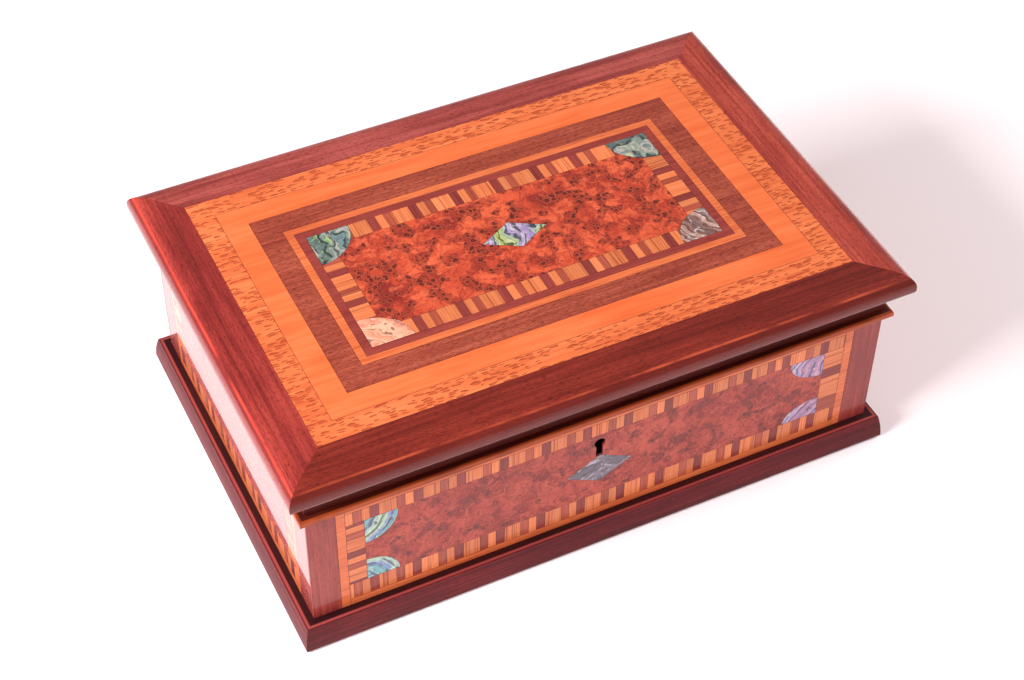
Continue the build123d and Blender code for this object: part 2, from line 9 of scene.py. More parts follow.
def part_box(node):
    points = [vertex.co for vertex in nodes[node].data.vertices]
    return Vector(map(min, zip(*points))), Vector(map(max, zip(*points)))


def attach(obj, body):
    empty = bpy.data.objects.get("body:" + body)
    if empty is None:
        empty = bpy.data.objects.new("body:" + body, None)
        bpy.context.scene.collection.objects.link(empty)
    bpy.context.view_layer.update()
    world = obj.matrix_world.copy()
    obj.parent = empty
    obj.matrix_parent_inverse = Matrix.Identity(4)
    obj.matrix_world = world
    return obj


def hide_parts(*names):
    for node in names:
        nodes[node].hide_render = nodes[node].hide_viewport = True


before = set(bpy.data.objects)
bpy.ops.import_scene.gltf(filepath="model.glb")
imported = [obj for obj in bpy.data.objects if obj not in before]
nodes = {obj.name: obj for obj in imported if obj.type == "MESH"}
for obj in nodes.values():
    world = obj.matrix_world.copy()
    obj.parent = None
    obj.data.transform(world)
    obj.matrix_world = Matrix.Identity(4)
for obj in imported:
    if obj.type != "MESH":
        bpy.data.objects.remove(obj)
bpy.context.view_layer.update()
MM = 0.001

# ---- The room -----------------------------------------------------------------------------
# A pale table lit by a strong softbox beyond the left end of the box, broader and weaker ones
# in front and to the right, and a dim room. The camera stands in front, to the left and well
# above.
FLOOR_SIZE = 6.0
CAMERA_AT = (-0.3055, -0.6104, 0.7390)
CAMERA_AIM = (-0.0097, -0.0181, 0.0600)
CAMERA_ROLL = math.radians(0.86)
CAMERA_LENS = 72.94
ROOM_TINT = (1.0, 0.96, 0.97, 1.0)
ROOM_GLOW = 0.30


def paint(red, green, blue):
    """A colour given as 0 to 255 screen values."""
    parts = [value / 255 for value in (red, green, blue)]
    linear = [part / 12.92 if part < 0.04045 else ((part + 0.055) / 1.055) ** 2.4 for part in parts]
    return (*linear, 1.0)


def new_object(name, data):
    """A new object at the origin, in the scene."""
    made = bpy.data.objects.new(name, data)
    bpy.context.scene.collection.objects.link(made)
    return made


def blank_material(name):
    """A material with only a shader in it: the material, its node tree and the shader."""
    made = bpy.data.materials.new(name)
    made.use_nodes = True
    tree = made.node_tree
    tree.nodes.clear()
    shader = tree.nodes.new("ShaderNodeBsdfPrincipled")
    output = tree.nodes.new("ShaderNodeOutputMaterial")
    tree.links.new(shader.outputs[0], output.inputs[0])
    return made, tree, shader


def add(tree, kind, inputs, **settings):
    """A node with its settings, and its inputs by name or number as values or sockets."""
    made = tree.nodes.new(kind)
    for key, value in settings.items():
        setattr(made, key, value)
    for key, value in inputs.items():
        if isinstance(value, bpy.types.NodeSocket):
            tree.links.new(value, made.inputs[key])
        else:
            made.inputs[key].default_value = value
    return made


def place_mm(tree):
    """The place on the object, in millimetres."""
    place = add(tree, "ShaderNodeTexCoord", {}).outputs["Object"]
    return add(tree, "ShaderNodeVectorMath", {0: place, "Scale": 1000.0}, operation="SCALE").outputs[0]


def noise(tree, at, scale=1.0, detail=3.0, roughness=0.5, distortion=0.0):
    """Smooth noise about 0.5."""
    inputs = {"Vector": at, "Scale": scale, "Detail": detail, "Roughness": roughness,
              "Distortion": distortion}
    return add(tree, "ShaderNodeTexNoise", inputs).outputs[0]


def ramp(tree, factor, *stops):
    """A colour ramp with stops of (place, colour)."""
    made = add(tree, "ShaderNodeValToRGB", {"Fac": factor})
    points = made.color_ramp.elements
    while len(points) < len(stops):
        points.new(0.5)
    for point, (place, colour) in zip(points, stops):
        point.position = place
        point.color = colour
    return made.outputs[0]


table_paint, tree, shader = blank_material("table_paint")
drift = noise(tree, place_mm(tree), 0.004, detail=1.0)
shade = ramp(tree, drift, (0.3, paint(248, 241, 243)), (0.7, paint(251, 245, 247)))
tree.links.new(shade, shader.inputs["Base Color"])
shader.inputs["Roughness"].default_value = 0.7
shader.inputs["Specular IOR Level"].default_value = 0.1

half = FLOOR_SIZE / 2
mesh = bpy.data.meshes.new("table_top")
corners = [(-half, -half, 0), (half, -half, 0), (half, half, 0), (-half, half, 0)]
mesh.from_pydata(corners, [], [(0, 1, 2, 3)])
mesh.materials.append(table_paint)
new_object("table_top", mesh)


def softbox(name, at, aim, width, height, power, colour, mirrored=True):
    """A softbox facing the place that it is aimed at. It may be kept out of reflections."""
    lamp = bpy.data.lights.new(name, "AREA")
    lamp.shape = "RECTANGLE"
    lamp.size = width
    lamp.size_y = height
    lamp.energy = power
    lamp.color = colour
    made = new_object(name, lamp)
    made.location = at
    made.rotation_euler = (Vector(aim) - Vector(at)).to_track_quat("-Z", "Y").to_euler()
    made.visible_glossy = mirrored


softbox("left_softbox", (-1.25, -0.12, 0.80), (0, 0, 0.03), 0.8, 0.5, 46.0, (1.0, 0.96, 0.97))
softbox("front_softbox", (0.15, -1.6, 0.75), (0, 0, 0.05), 2.2, 0.8, 13.0, (1.0, 0.93, 0.94), False)
softbox("right_softbox", (1.6, -0.1, 0.9), (0.1, 0, 0), 1.6, 0.9, 24.0, (1.0, 0.87, 0.86))

world = bpy.data.worlds.new("room")
world.use_nodes = True
background = world.node_tree.nodes["Background"]
background.inputs["Color"].default_value = ROOM_TINT
background.inputs["Strength"].default_value = ROOM_GLOW
bpy.context.scene.world = world
bpy.context.scene.view_settings.view_transform = "Standard"

lens = bpy.data.cameras.new("camera")
lens.lens = CAMERA_LENS
lens.clip_start = 0.05
camera = new_object("camera", lens)
camera.location = CAMERA_AT
look = (Vector(CAMERA_AIM) - Vector(CAMERA_AT)).to_track_quat("-Z", "Y").to_matrix()
camera.rotation_euler = (look @ Matrix.Rotation(CAMERA_ROLL, 3, "Z")).to_euler()
bpy.context.scene.camera = camera

# ---- Walls and bottom board ---------------------------------------------------------------
# Four walls mitred at the corners, a board let into the plinth below them, and the panel that
# carries the veneers of the lid. Plain straight-grained softwood, waxed and never polished.
MITRE_OFFSET = 48.0            # the mitres lie where |x| - |y| is this, in millimetres
SIDE_SHIFT = 317.0             # each side is cut this far from the middle of its length of wood
END_SHIFT = 911.0              # and the two ends are cut this much further along


def calculate(tree, operation, first, second=0.0, third=0.0):
    """One step of arithmetic."""
    inputs = {0: first, 1: second, 2: third}
    return add(tree, "ShaderNodeMath", inputs, operation=operation).outputs[0]


def smooth_step(tree, value, low, high, to_low=0.0, to_high=1.0):
    """A value eased from one range to another, held at its ends."""
    inputs = {0: value, 1: low, 2: high, 3: to_low, 4: to_high}
    return add(tree, "ShaderNodeMapRange", inputs, interpolation_type="SMOOTHSTEP").outputs[0]


def choose(tree, factor, first, second):
    """One number or another, or between them."""
    return add(tree, "ShaderNodeMix", {0: factor, 2: first, 3: second}).outputs[0]


def tint(tree, factor, first, second, how="MIX"):
    """One colour mixed with another."""
    inputs = {0: factor, 6: first, 7: second}
    return add(tree, "ShaderNodeMix", inputs, data_type="RGBA", blend_type=how).outputs[2]


def apart(tree, vector):
    """The three numbers of a vector."""
    return add(tree, "ShaderNodeSeparateXYZ", {0: vector}).outputs


def together(tree, x, y, z):
    """A vector of three numbers."""
    return add(tree, "ShaderNodeCombineXYZ", {0: x, 1: y, 2: z}).outputs[0]


def length_of(tree, vector):
    """How long a vector is."""
    return add(tree, "ShaderNodeVectorMath", {0: vector}, operation="LENGTH").outputs["Value"]


def stretched(tree, at, along, across):
    """Coordinates in which one unit is so many millimetres along and across the grain."""
    inputs = {0: at, 1: (1 / along, 1 / across, 1 / across)}
    return add(tree, "ShaderNodeVectorMath", inputs, operation="MULTIPLY").outputs[0]


def round_the_box(tree):
    """Millimetres along the grain, across it and up, on pieces that are mitred round the box.
    The grain runs along each side, and each side has its own stretch of it."""
    x, y, z = apart(tree, place_mm(tree))
    wide = calculate(tree, "ABSOLUTE", x)
    deep = calculate(tree, "ABSOLUTE", y)
    at_end = calculate(tree, "GREATER_THAN", calculate(tree, "SUBTRACT", wide, deep), MITRE_OFFSET)
    along = choose(tree, at_end, x, y)
    across = choose(tree, at_end, y, x)
    shift = calculate(tree, "MULTIPLY", calculate(tree, "SIGN", across), SIDE_SHIFT)
    shift = calculate(tree, "MULTIPLY_ADD", at_end, END_SHIFT, shift)
    return together(tree, calculate(tree, "ADD", along, shift), across, z)


def straight_grain(tree, at, dark, middle, light, streak=(90, 2.2), fibre=(14, 0.28), spread=0.14):
    """The colour and relief of straight-grained wood: broad streaks over fine fibres."""
    streaks = noise(tree, stretched(tree, at, *streak), detail=4, roughness=0.6, distortion=0.3)
    fibres = noise(tree, stretched(tree, at, *fibre), detail=3, roughness=0.6)
    clouds = noise(tree, stretched(tree, at, 45, 14), detail=2)
    figure = calculate(tree, "MULTIPLY", streaks, 0.5)
    figure = calculate(tree, "MULTIPLY_ADD", fibres, 0.25, figure)
    figure = calculate(tree, "MULTIPLY_ADD", clouds, 0.25, figure)
    colour = ramp(tree, figure, (0.5 - spread, dark), (0.5, middle), (0.5 + spread, light))
    return colour, fibres


def open_pores(tree, at, wood, pore_colour, amount=0.7, size=(3.0, 0.25), share=0.58):
    """Dark open pores, short and thin along the grain, in a wood's colour and relief."""
    colour, relief = wood
    field = noise(tree, stretched(tree, at, *size), detail=1.0)
    mask = smooth_step(tree, field, share, share + 0.08, 0.0, amount)
    return tint(tree, mask, colour, pore_colour), calculate(tree, "SUBTRACT", relief, mask)


def polish(tree, shader, wood, depth=0.02, roughness=0.45, gloss=0.06, coat=0.45):
    """Lays a wood's colour and relief under clear polish."""
    colour, relief = wood
    tree.links.new(colour, shader.inputs["Base Color"])
    inputs = {"Height": relief, "Distance": depth * MM, "Strength": 0.6}
    grain = add(tree, "ShaderNodeBump", inputs).outputs[0]
    tree.links.new(grain, shader.inputs["Normal"])
    shader.inputs["Roughness"].default_value = roughness
    shader.inputs["Specular IOR Level"].default_value = 0.15
    shader.inputs["Coat Weight"].default_value = coat
    shader.inputs["Coat Roughness"].default_value = gloss
    shader.inputs["Coat IOR"].default_value = 1.45


def dress(material, *names):
    """Puts a material on CAD pieces."""
    for name in names:
        mesh = nodes[name].data
        mesh.materials.clear()
        mesh.materials.append(material)


SIDES = ("front", "right", "back", "left")
KEYHOLE_REACH = 3.6            # painted shade: the wood is painted black this far to each side of the key
KEYHOLE_SHAPE = 0.5            # the width of that painted shade over its height


def pine(name, at_of, keyhole_shaded=False):
    """Waxed softwood, with the grain laid by a rule. It may have painted shade, near black, round the
    keyhole.
    """
    made, tree, shader = blank_material(name)
    colour, relief = straight_grain(tree, at_of(tree), paint(139, 74, 40), paint(163, 98, 57),
                                    paint(178, 118, 76), streak=(120, 3.5))
    if keyhole_shaded:
        low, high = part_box("lock_pin")
        key = (low + high) / 2 / MM
        place = apart(tree, place_mm(tree))
        aside = calculate(tree, "SUBTRACT", place[0], key.x)
        above = calculate(tree, "SUBTRACT", place[2], key.z - KEYHOLE_REACH / 2)
        above = calculate(tree, "MULTIPLY", above, KEYHOLE_SHAPE)
        far = length_of(tree, together(tree, aside, above, 0.0))
        keyhole_shade = smooth_step(tree, far, KEYHOLE_REACH, KEYHOLE_REACH + 0.4, 1.0, 0.0)
        # painted shade: the inside of the keyhole is painted near black
        colour = tint(tree, keyhole_shade, colour, paint(14, 6, 5))
    polish(tree, shader, (colour, relief), roughness=0.5, gloss=0.25, coat=0.3)
    return made


dress(pine("carcase_pine", round_the_box), *[f"{side}_wall" for side in SIDES if side != "front"])
dress(pine("front_pine", round_the_box, keyhole_shaded=True), "front_wall")
dress(pine("board_pine", place_mm), "bottom_board", "lid_panel")

# ---- Plinth -------------------------------------------------------------------------------
# Four lengths of near-black red wood, mitred, with a flat ledge and a bowed face. Dust has caught in the
# polish of the ledge. The top of the ledge has painted shade, near black, and a painted highlight runs as a
# thin lighter line just inside its edge.
LEDGE_ARRIS = 4.9               # the ledge's arris, where the painted highlight runs, out from the walls under their veneer
LEDGE_HEIGHT = 13.5


def dust(tree, at, colour, amount=0.8, spacing=7.0, size=0.14):
    """Sparse pale specks."""
    cells = add(tree, "ShaderNodeTexVoronoi", {"Vector": at, "Scale": 1 / spacing})
    chance = apart(tree, cells.outputs["Color"])[0]
    reach = calculate(tree, "MULTIPLY", chance, size / spacing)
    mask = calculate(tree, "LESS_THAN", cells.outputs["Distance"], reach)
    return tint(tree, calculate(tree, "MULTIPLY", mask, amount), colour, paint(178, 149, 144))


def reach_out(tree):
    """How far a place is beyond the walls under their veneer, in millimetres."""
    low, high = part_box("front_wall")
    x, y = apart(tree, place_mm(tree))[:2]
    out_x = calculate(tree, "SUBTRACT", calculate(tree, "ABSOLUTE", x), high.x / MM)
    out_y = calculate(tree, "SUBTRACT", calculate(tree, "ABSOLUTE", y), -low.y / MM)
    return calculate(tree, "MAXIMUM", out_x, out_y)


def near_edge(tree, out, height, reach):
    """1 on an arris that is so far out and so high, and 0 beyond a reach from it."""
    z = apart(tree, place_mm(tree))[2]
    aside = calculate(tree, "SUBTRACT", reach_out(tree), out)
    above = calculate(tree, "SUBTRACT", z, height)
    far = length_of(tree, together(tree, aside, above, 0.0))
    return smooth_step(tree, far, 0.4 * reach, reach, 1.0, 0.0)


plinth_wood, tree, shader = blank_material("plinth_wood")
at = round_the_box(tree)
wood = straight_grain(tree, at, paint(58, 8, 11), paint(84, 15, 20), paint(112, 28, 31),
                      streak=(120, 1.8))
colour, relief = open_pores(tree, at, wood, paint(26, 4, 6), 0.6)
# painted shade: the top of the ledge is painted near black
ledge_shade = smooth_step(tree, reach_out(tree), LEDGE_ARRIS, LEDGE_ARRIS + 0.5, 1.0, 0.0)
colour = tint(tree, calculate(tree, "MULTIPLY", ledge_shade, 0.8), colour, paint(22, 3, 5))
# painted highlight: a thin lighter line along the ledge's arris
arris_highlight = near_edge(tree, LEDGE_ARRIS, LEDGE_HEIGHT, 0.9)
colour = tint(tree, arris_highlight, colour, paint(140, 60, 56))
polish(tree, shader, (dust(tree, place_mm(tree), colour), relief), roughness=0.6, coat=0.2)
dress(plinth_wood, *[f"base_moulding_{side}" for side in SIDES])

# ---- Fillet round the top of the walls ----------------------------------------------------
# A thin square moulding, let in under the joint with the lid. Its top is dark brown-red, partly the wood's
# own colour and partly painted shade under the lid; its edge and outer face are painted warm orange as a
# painted highlight.
FILLET_ARRIS = 3.4              # the painted highlight begins just inside this, out from the same place

fillet_wood, tree, shader = blank_material("fillet_wood")
at = round_the_box(tree)
# partly painted shade: the wood is painted darker than it is, for the shade under the lid
colour, relief = straight_grain(tree, at, paint(44, 9, 5), paint(66, 18, 11), paint(88, 30, 18))
# painted highlight: the colour of the lit edge and outer face
arris_highlight_colour = straight_grain(tree, at, paint(120, 48, 20), paint(150, 64, 28), paint(172, 82, 42))[0]
edge = smooth_step(tree, reach_out(tree), FILLET_ARRIS - 0.35, FILLET_ARRIS - 0.1)
patchy = smooth_step(tree, noise(tree, stretched(tree, at, 20, 8)), 0.3, 0.55, 0.55, 1.0)
colour = tint(tree, calculate(tree, "MULTIPLY", edge, patchy), colour, arris_highlight_colour)
polish(tree, shader, (colour, relief), coat=0.12)
dress(fillet_wood, *[f"top_fillet_{side}" for side in SIDES])

# ---- Lid mouldings ------------------------------------------------------------------------
# The frame's four mitred lengths are flat on top and ease down to a full nose. A lighter line runs along
# the arris above the nose, partly wear of the polish and partly painted highlight; the nose has painted
# shade, and a faint painted highlight runs at its foot. The rim is flush with the walls.
SHOULDER = 7.4                 # the arris above the nose, where the lighter line of wear and painted highlight runs, out from the same place
NOSE = 8.65                    # the faint painted highlight just behind the foot of the nose
NOSE_FOOT = 97.4               # and its height


def lid_red_wood_lit_per_side(name, dark, middle, light, arris_highlight_colour, coat):
    """Streaky dark red wood, with a lighter line along the arris of its moulding, partly wear and partly
    painted highlight, painted shade on the nose and a faint painted highlight at its foot.
    """
    made, tree, shader = blank_material(name)
    at = round_the_box(tree)
    wood = straight_grain(tree, at, dark, middle, light, streak=(70, 2.0), spread=0.11)
    pore_colour = tuple(0.45 * part for part in dark[:3]) + (1.0,)
    colour, relief = open_pores(tree, at, wood, pore_colour, 0.75, size=(2.6, 0.24), share=0.56)
    flecks = noise(tree, stretched(tree, at, 4.0, 0.3), detail=1.0)
    colour = tint(tree, smooth_step(tree, flecks, 0.62, 0.72, 0, 0.5), colour, light)
    # a lighter line along the arris above the nose: partly wear of the polish, partly painted highlight
    away = calculate(tree, "ABSOLUTE", calculate(tree, "SUBTRACT", reach_out(tree), SHOULDER))
    patches = smooth_step(tree, noise(tree, stretched(tree, at, 30, 30)), 0.36, 0.60, 0.1, 1.0)
    arris_highlight = calculate(tree, "MULTIPLY", smooth_step(tree, away, 0.1, 0.7, 0.8, 0.0), patches)
    colour = tint(tree, arris_highlight, colour, arris_highlight_colour)
    # painted shade: the nose is painted darker
    nose_shade = smooth_step(tree, reach_out(tree), SHOULDER, SHOULDER + 0.8, 0.0, 0.6)
    colour = tint(tree, nose_shade, colour, dark)
    # painted highlight: a faint lighter line at the foot of the nose
    foot = calculate(tree, "MULTIPLY", near_edge(tree, NOSE, NOSE_FOOT, 1.0), 0.8)
    colour = tint(tree, foot, colour, paint(190, 92, 62))
    colour = dust(tree, place_mm(tree), colour, 0.7, 11.0)
    polish(tree, shader, (colour, relief), depth=0.008, coat=coat)
    return made


# dark, middling and light wood, the lighter arris line, and the weight of the polish; each side's tones are
# painted light and shade, lighter or darker for how the light falls on that side
FRAME_TONES_BY_LIGHT = {
    "front": (paint(85, 20, 13), paint(106, 30, 20), paint(128, 42, 30), paint(178, 76, 46), 0.45),
    "left": (paint(100, 22, 20), paint(132, 38, 33), paint(158, 56, 46), paint(214, 62, 40), 0.8),
    "back": (paint(116, 40, 36), paint(144, 58, 52), paint(166, 78, 70), paint(150, 64, 55), 0.9),
    "right": (paint(124, 36, 28), paint(152, 56, 43), paint(174, 76, 59), paint(190, 84, 56), 0.8),
}
for side in SIDES:
    dress(lid_red_wood_lit_per_side(f"lid_red_wood_{side}", *FRAME_TONES_BY_LIGHT[side]), f"lid_frame_{side}")

# painted shade: the rim's wood is painted near black, darker than it is, for the shade under the nose
rim_wood_shaded, tree, shader = blank_material("rim_wood_shaded")
at = round_the_box(tree)
wood = straight_grain(tree, at, paint(46, 10, 7), paint(66, 17, 12), paint(88, 27, 19),
                      streak=(70, 2.0))
polish(tree, shader, open_pores(tree, at, wood, paint(28, 5, 4), 0.6), coat=0.12)
dress(rim_wood_shaded, *[f"lid_rim_{side}" for side in SIDES])

# ---- Bands of the lid ---------------------------------------------------------------------
# From the frame inwards: lacewood, plain orange wood, brown wood, orange stringing and a
# maroon strip, each of four lengths of veneer mitred at the corners. Every inlaid piece has
# its arrises just broken by sanding, and the glue shows as a thin dark line round it.
BROKEN_ARRIS = 0.10 * MM
SAME_PLACE = 0.002 * MM        # points nearer than this are one
GLUE_SLOT = 1                  # of the materials of an inlaid piece

glue_line, tree, shader = blank_material("glue_line")
at = place_mm(tree)
glue = ramp(tree, noise(tree, at, 0.8), (0.3, paint(58, 19, 11)), (0.7, paint(100, 40, 24)))
polish(tree, shader, (glue, noise(tree, at, 2.0)))


def joined(source):
    """The triangles of a CAD node, joined where they meet."""
    made = bmesh.new()
    made.from_mesh(nodes[source].data)
    bmesh.ops.remove_doubles(made, verts=made.verts, dist=SAME_PLACE)
    return made


def plain_copy(rough, name):
    """What an object's modifiers make of it, as a plain mesh. The object itself is removed."""
    shaped = rough.evaluated_get(bpy.context.evaluated_depsgraph_get())
    finished = new_object(name, bpy.data.meshes.new_from_object(shaped))
    bpy.data.objects.remove(rough)
    return finished


def along_longest(low, high):
    """The axis of a piece's longest edge."""
    size = high - low
    return max(range(3), key=lambda axis: size[axis])


def islands(cutter):
    """The separate pieces of a mesh, as lists of vertices."""
    left = dict.fromkeys(cutter.verts)
    while left:
        piece = [left.popitem()[0]]
        for vertex in piece:
            for link in vertex.link_edges:
                other = link.other_vert(vertex)
                if other in left:
                    del left[other]
                    piece.append(other)
        yield piece


def corners_of(piece):
    """The lowest and highest corners of a piece."""
    places = [vertex.co for vertex in piece]
    low = Vector([min(place[axis] for place in places) for axis in range(3)])
    high = Vector([max(place[axis] for place in places) for axis in range(3)])
    return low, high


def inlay(source, material, body, grain_rule=along_longest):
    """The pieces of a CAD node cut from veneer and let in, in its place. Each piece has its
    own stretch of grain, its own tone, and its width across the grain."""
    chance = random.Random(source + "1")
    cutter = joined(source)
    bmesh.ops.dissolve_limit(cutter, angle_limit=math.radians(1), verts=cutter.verts,
                             edges=cutter.edges)
    grain = cutter.verts.layers.float_vector.new("grain")
    tone = cutter.verts.layers.float.new("tone")
    width = cutter.verts.layers.float.new("width")
    turned = cutter.verts.layers.float.new("turned")
    for piece in list(islands(cutter)):
        low, high = corners_of(piece)
        first = grain_rule(low, high)
        others = sorted((axis for axis in range(3) if axis != first),
                        key=lambda axis: low[axis] - high[axis])
        shift = Vector([chance.uniform(-900, 900) for axis in range(3)])
        piece_tone = chance.random()
        piece_width = (high - low)[others[0]] / MM
        for vertex in piece:
            laid = Vector((vertex.co[first], vertex.co[others[0]], vertex.co[others[1]]))
            vertex[grain] = laid / MM + shift
            vertex[tone] = piece_tone
            vertex[width] = piece_width
            vertex[turned] = float(first == 1)
    mesh = bpy.data.meshes.new(source + "_cut")
    cutter.to_mesh(mesh)
    cutter.free()
    mesh.materials.append(material)
    mesh.materials.append(glue_line)
    rough = new_object(source + "_rough", mesh)
    broken = rough.modifiers.new("broken_arris", "BEVEL")
    broken.width = BROKEN_ARRIS
    broken.segments = 1
    broken.limit_method = "ANGLE"
    broken.material = GLUE_SLOT
    finished = plain_copy(rough, source + "_inlay")
    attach(finished, body)
    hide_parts(source)
    return finished


def laid_grain(tree):
    """The grain coordinates that a piece was cut with, in millimetres."""
    return add(tree, "ShaderNodeAttribute", {}, attribute_name="grain").outputs["Vector"]


def piece_value(tree, name):
    """A number that is the same all over a piece."""
    return add(tree, "ShaderNodeAttribute", {}, attribute_name=name).outputs["Fac"]


DARK_SIDE = 0.26               # how wide the dark side of a fleck is, in millimetres


def lace_flecks(tree, at, along, across, slant, size, share):
    """Rays of lacewood seen end on: a mask of lens-shaped flecks, and one of their dark sides."""
    x, y = apart(tree, at)[:2]
    bend = calculate(tree, "MULTIPLY_ADD", noise(tree, stretched(tree, at, 9, 6)), 3.2, -1.6)
    y = calculate(tree, "ADD", y, bend)
    x = calculate(tree, "MULTIPLY_ADD", y, slant, x)
    masks = []
    for step in (0.0, DARK_SIDE):
        side = calculate(tree, "ADD", y, step)
        x_cell = calculate(tree, "DIVIDE", x, along)
        y_cell = calculate(tree, "DIVIDE", side, across)
        inputs = {"Vector": together(tree, x_cell, y_cell, 0.0), "Scale": 1.0, "Randomness": 0.9}
        cells = add(tree, "ShaderNodeTexVoronoi", inputs, voronoi_dimensions="2D")
        chance, pick = apart(tree, cells.outputs["Color"])[:2]
        reach = calculate(tree, "MULTIPLY_ADD", chance, 0.9 * size, 0.5 * size)
        gap = calculate(tree, "SUBTRACT", reach, cells.outputs["Distance"])
        kept = calculate(tree, "LESS_THAN", pick, share)
        masks.append(calculate(tree, "MULTIPLY", smooth_step(tree, gap, 0.0, 0.10), kept))
    whole, shifted = masks
    return whole, calculate(tree, "MAXIMUM", calculate(tree, "SUBTRACT", whole, shifted), 0.0)


lacewood, tree, shader = blank_material("lacewood")
at = laid_grain(tree)
colour, relief = straight_grain(tree, at, paint(178, 78, 42), paint(203, 104, 58), paint(210, 120, 74))
ends = piece_value(tree, "turned")
dashes = lace_flecks(tree, at, along=5.4, across=1.35, slant=0.7, size=0.38, share=0.72)
ovals = lace_flecks(tree, at, along=4.6, across=2.6, slant=0.9, size=0.42, share=0.78)
whole = choose(tree, ends, dashes[0], ovals[0])
dark_side = choose(tree, ends, dashes[1], ovals[1])
colour = tint(tree, calculate(tree, "MULTIPLY", whole, 0.72), colour, paint(158, 62, 32))
colour = tint(tree, calculate(tree, "MULTIPLY", dark_side, 0.85), colour, paint(104, 34, 15))
polish(tree, shader, (colour, calculate(tree, "SUBTRACT", relief, whole)))

plain_orange, tree, shader = blank_material("plain_orange")
at = laid_grain(tree)
wood = straight_grain(tree, at, paint(198, 88, 44), paint(208, 102, 55), paint(212, 115, 68),
                      streak=(50, 4))
polish(tree, shader, wood)

brown_wood, tree, shader = blank_material("brown_wood")
at = laid_grain(tree)
wood = straight_grain(tree, at, paint(120, 46, 33), paint(146, 64, 46), paint(166, 83, 62),
                      streak=(60, 1.2), spread=0.12)
polish(tree, shader, open_pores(tree, at, wood, paint(86, 29, 21), 0.8, size=(2.6, 0.26), share=0.54))

stringing_wood, tree, shader = blank_material("stringing_wood")
at = laid_grain(tree)
wood = straight_grain(tree, at, paint(176, 77, 43), paint(199, 101, 57), paint(209, 118, 71),
                      streak=(50, 0.7))
polish(tree, shader, open_pores(tree, at, wood, paint(136, 53, 32), 0.7, size=(14, 0.2)))

maroon_wood, tree, shader = blank_material("maroon_wood")
at = laid_grain(tree)
wood = straight_grain(tree, at, paint(110, 37, 33), paint(131, 51, 44), paint(148, 66, 55))
polish(tree, shader, open_pores(tree, at, wood, paint(93, 29, 27), 0.5))

LID_BANDS = {
    "lid_lacewood_band": lacewood,
    "lid_plain_band": plain_orange,
    "lid_brown_band": brown_wood,
    "lid_stringing": stringing_wood,
    "lid_maroon_strip": maroon_wood,
}
for band, veneer in LID_BANDS.items():
    inlay(band, veneer, "lid")

# ---- Block banding ------------------------------------------------------------------------
# Light, middling and dark blocks laid in turn, with their grain across the strip. The wide
# light blocks show a few brown lines of grain; no two blocks are quite the same tone.
WIDE_BLOCK = 6.0               # in millimetres
SLACK = 0.1 * MM               # a block this near the edge of a panel is beside it
LID_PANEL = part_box("lid_burl_panel")
WALL_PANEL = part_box("front_burl_panel")


def block_wood(name, dark, middle, light, line_colour):
    """Short blocks of one wood, each a little lighter or darker than the last."""
    made, tree, shader = blank_material(name)
    at = laid_grain(tree)
    colour, relief = straight_grain(tree, at, dark, middle, light, streak=(30, 1.0))
    lean = smooth_step(tree, piece_value(tree, "tone"), 0.0, 1.0, 0.86, 1.10)
    field = noise(tree, stretched(tree, at, 60, 0.55), detail=1.0)
    lines = smooth_step(tree, field, 0.56, 0.66)
    wide = calculate(tree, "GREATER_THAN", piece_value(tree, "width"), WIDE_BLOCK)
    share = choose(tree, wide, 0.25, 0.85)
    colour = tint(tree, calculate(tree, "MULTIPLY", lines, share), colour, line_colour)
    colour = add(tree, "ShaderNodeHueSaturation", {"Color": colour, "Value": lean}).outputs[0]
    polish(tree, shader, (colour, calculate(tree, "SUBTRACT", relief, lines)))
    return made


def across_lid_strip(low, high):
    """Rows at the front and back of the lid have their grain along Y, and the columns at the
    ends of its panel along X."""
    column = max(abs(low.y), abs(high.y)) < LID_PANEL[1].y + SLACK
    return 0 if column else 1


def across_wall_strip(low, high):
    """Rows of a wall, below and above its panel, have upright grain. Its columns have level
    grain, along Y on the ends of the box and along X on its front."""
    panel_low, panel_high = WALL_PANEL
    if high.z < panel_low.z + SLACK or low.z > panel_high.z - SLACK:
        return 2
    veneer = panel_high.y - panel_low.y
    on_end = high.x - low.x < veneer + SLACK
    return 1 if on_end else 0


def glassier(material):
    """The same wood under a thicker, glassier polish."""
    made = material.copy()
    made.name = material.name + "_glassy"
    for node in made.node_tree.nodes:
        if node.type == "BSDF_PRINCIPLED":
            node.inputs["Coat Weight"].default_value = 1.0
            node.inputs["Coat IOR"].default_value = 1.9
    return made


BLOCK_WOODS = {
    "light": block_wood("light_block_wood", paint(188, 94, 54), paint(201, 112, 68),
                        paint(208, 126, 82), paint(136, 58, 30)),
    "mid": block_wood("mid_block_wood", paint(133, 54, 40), paint(153, 70, 51),
                      paint(166, 85, 63), paint(116, 45, 33)),
    "dark": block_wood("dark_block_wood", paint(108, 37, 35), paint(126, 50, 44),
                       paint(141, 61, 54), paint(93, 30, 28)),
}
for kind, wood in BLOCK_WOODS.items():
    inlay(f"lid_{kind}_blocks", wood, "lid", across_lid_strip)
    inlay(f"front_{kind}_blocks", wood, "box", across_wall_strip)
    inlay(f"side_{kind}_blocks", glassier(wood), "box", across_wall_strip)

# ---- Burl panels --------------------------------------------------------------------------
# Leaves cut from a burl: swirling orange-red wood with clusters of small dark eyes, each with
# a pale ring. The panel of the lid is brighter than those of the walls.
EYE_SIZES = ((1.9, 0.36), (3.2, 0.82))     # their spacing and radius, in millimetres


def coloured_noise(tree, at, scale, detail):
    """Three smooth noises in one, as a colour."""
    inputs = {"Vector": at, "Scale": scale, "Detail": detail}
    return add(tree, "ShaderNodeTexNoise", inputs).outputs["Color"]


def pushed(tree, at, push, reach):
    """Coordinates pushed aside by a coloured noise, as far as the reach on each axis."""
    inputs = {0: push, 1: reach, 2: at}
    return add(tree, "ShaderNodeVectorMath", inputs, operation="MULTIPLY_ADD").outputs[0]


